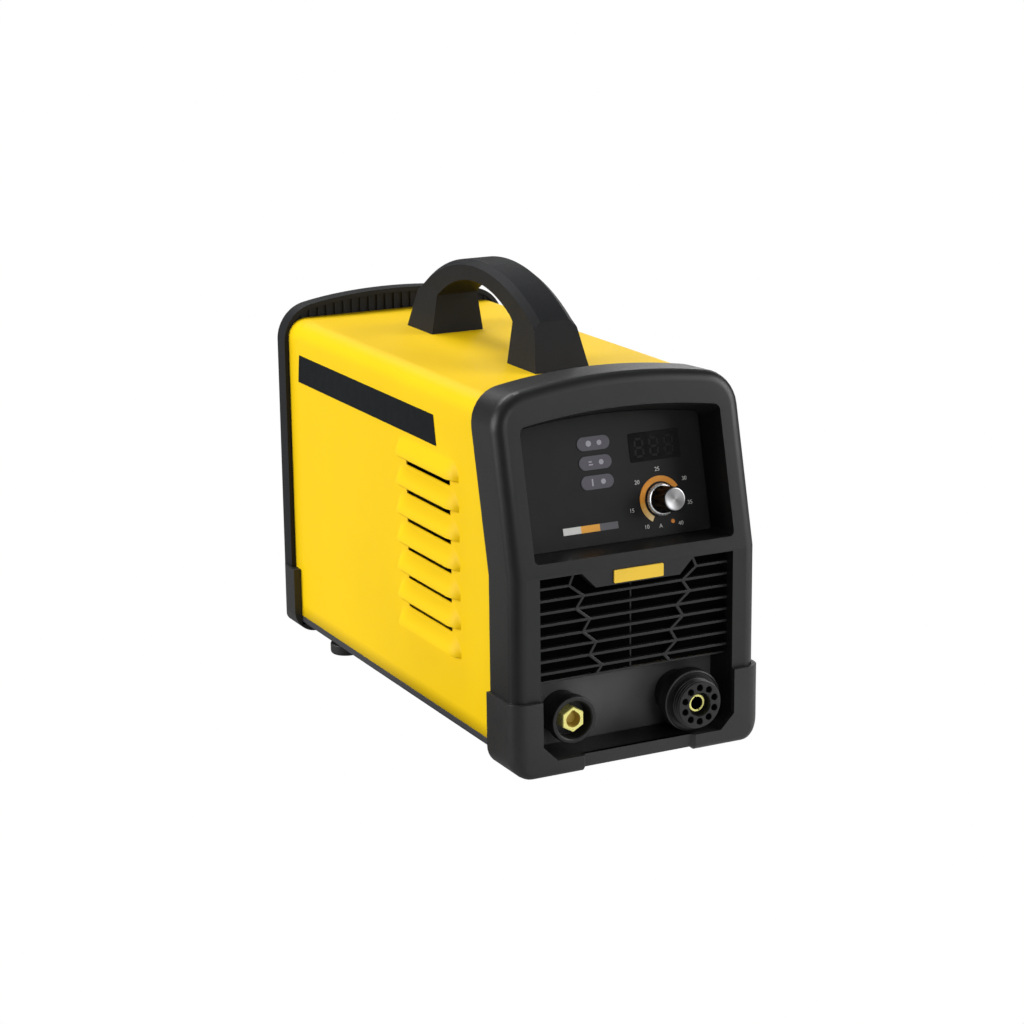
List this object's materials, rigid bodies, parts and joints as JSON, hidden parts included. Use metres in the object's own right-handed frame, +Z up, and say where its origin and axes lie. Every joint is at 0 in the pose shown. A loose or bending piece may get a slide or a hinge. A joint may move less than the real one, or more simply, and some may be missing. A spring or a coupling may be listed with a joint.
{
  "type": "plasma cutter",
  "caption": "Portable inverter air plasma cutter: yellow louvred case, black front with current knob, earth and torch sockets, carrying handle.",
  "frame": {"origin": "centre of the footprint, on the surface it stands on", "axes": "+Z up, the front with its controls faces -Y"},
  "size_m": [0.16, 0.343, 0.2603],
  "materials": {
    "black_plastic": "satin moulded, fine grain",
    "fascia_film": "semi-gloss film",
    "smoked_window": "gloss",
    "indicator_lens": "satin",
    "dial_print": "printed",
    "board_green": "solder mask",
    "zinc_plate": "zinc plated",
    "knob_black": "satin",
    "silver_cap": "radially brushed",
    "badge_yellow": "gloss",
    "bumper_rubber": "matte",
    "brass": "polished",
    "hose_rubber": "matte",
    "tray_grey": "powder coat",
    "yellow_coat": "gloss powder coat",
    "label_black": "printed film",
    "steel": "bright",
    "fan_plastic": "moulded",
    "rocker_red": "gloss",
    "heatsink_alu": "extruded",
    "chip_black": "moulded",
    "ferrite": "matte",
    "copper_wire": "enamelled",
    "capacitor_blue": "sleeved"
  },
  "bodies": {
    "case": {"front_bezel": "black_plastic", "control_fascia": "fascia_film", "display_window": "smoked_window", "display_module": "chip_black", "indicator_lenses": "indicator_lens", "dial_scale": "dial_print", "control_board": "board_green", "board_spacers": "zinc_plate", "potentiometer": "zinc_plate", "front_grille": "black_plastic", "badge_plate": "badge_yellow", "front_bumper": "bumper_rubber", "connection_panel": "black_plastic", "earth_socket_body": "black_plastic", "earth_socket_contact": "brass", "earth_socket_nut": "zinc_plate", "torch_socket_body": "black_plastic", "torch_gas_tube": "brass", "torch_pin_sleeves": "brass", "torch_socket_nut": "zinc_plate", "torch_hose": "hose_rubber", "base_plate": "tray_grey", "cover": "yellow_coat", "side_labels": "label_black", "handle": "black_plastic", "handle_bracket": "zinc_plate", "handle_screws": "steel", "rear_frame": "black_plastic", "rear_panel": "label_black", "rear_bumper": "bumper_rubber", "rear_screws": "steel", "fan_frame": "fan_plastic", "fan_guard": "steel", "fan_screws": "steel", "switch_housing": "chip_black", "gland_body": "black_plastic", "gland_nut": "black_plastic", "air_inlet": "brass", "air_inlet_nut": "brass", "inlet_hose": "hose_rubber", "air_valve": "zinc_plate", "ground_screw": "brass", "rubber_feet": "bumper_rubber", "foot_screws": "steel", "main_board": "board_green", "board_standoffs": "brass", "heatsinks": "heatsink_alu", "power_transistors": "chip_black", "transformer_core": "ferrite", "transformer_winding": "copper_wire", "output_choke": "copper_wire", "choke_clamp": "zinc_plate", "bulk_capacitors": "capacitor_blue", "rectifier_bridge": "chip_black"},
    "knob": {"knob_body": "knob_black", "knob_skirt": "silver_cap", "knob_cap": "silver_cap", "pot_shaft": "steel"},
    "fan_wheel": {"fan_rotor": "fan_plastic"},
    "rocker": {"switch_rocker": "rocker_red"}
  },
  "joints": [
    {"name": "current_knob_turn", "type": "hinge", "parent": "case", "child": "knob", "pos_m": [0.032, -0.13594, 0.14078], "axis": [0, -0.9724, 0.2334], "range_deg": [-140, 140]},
    {"name": "fan_spin", "type": "hinge", "parent": "case", "child": "fan_wheel", "pos_m": [0, 0.143, 0.112], "axis": [0, 1, 0], "continuous": true},
    {"name": "power_switch_rock", "type": "hinge", "parent": "case", "child": "rocker", "pos_m": [-0.038, 0.1553, 0.186], "axis": [1, 0, 0], "range_deg": [0, 18]}
  ]
}
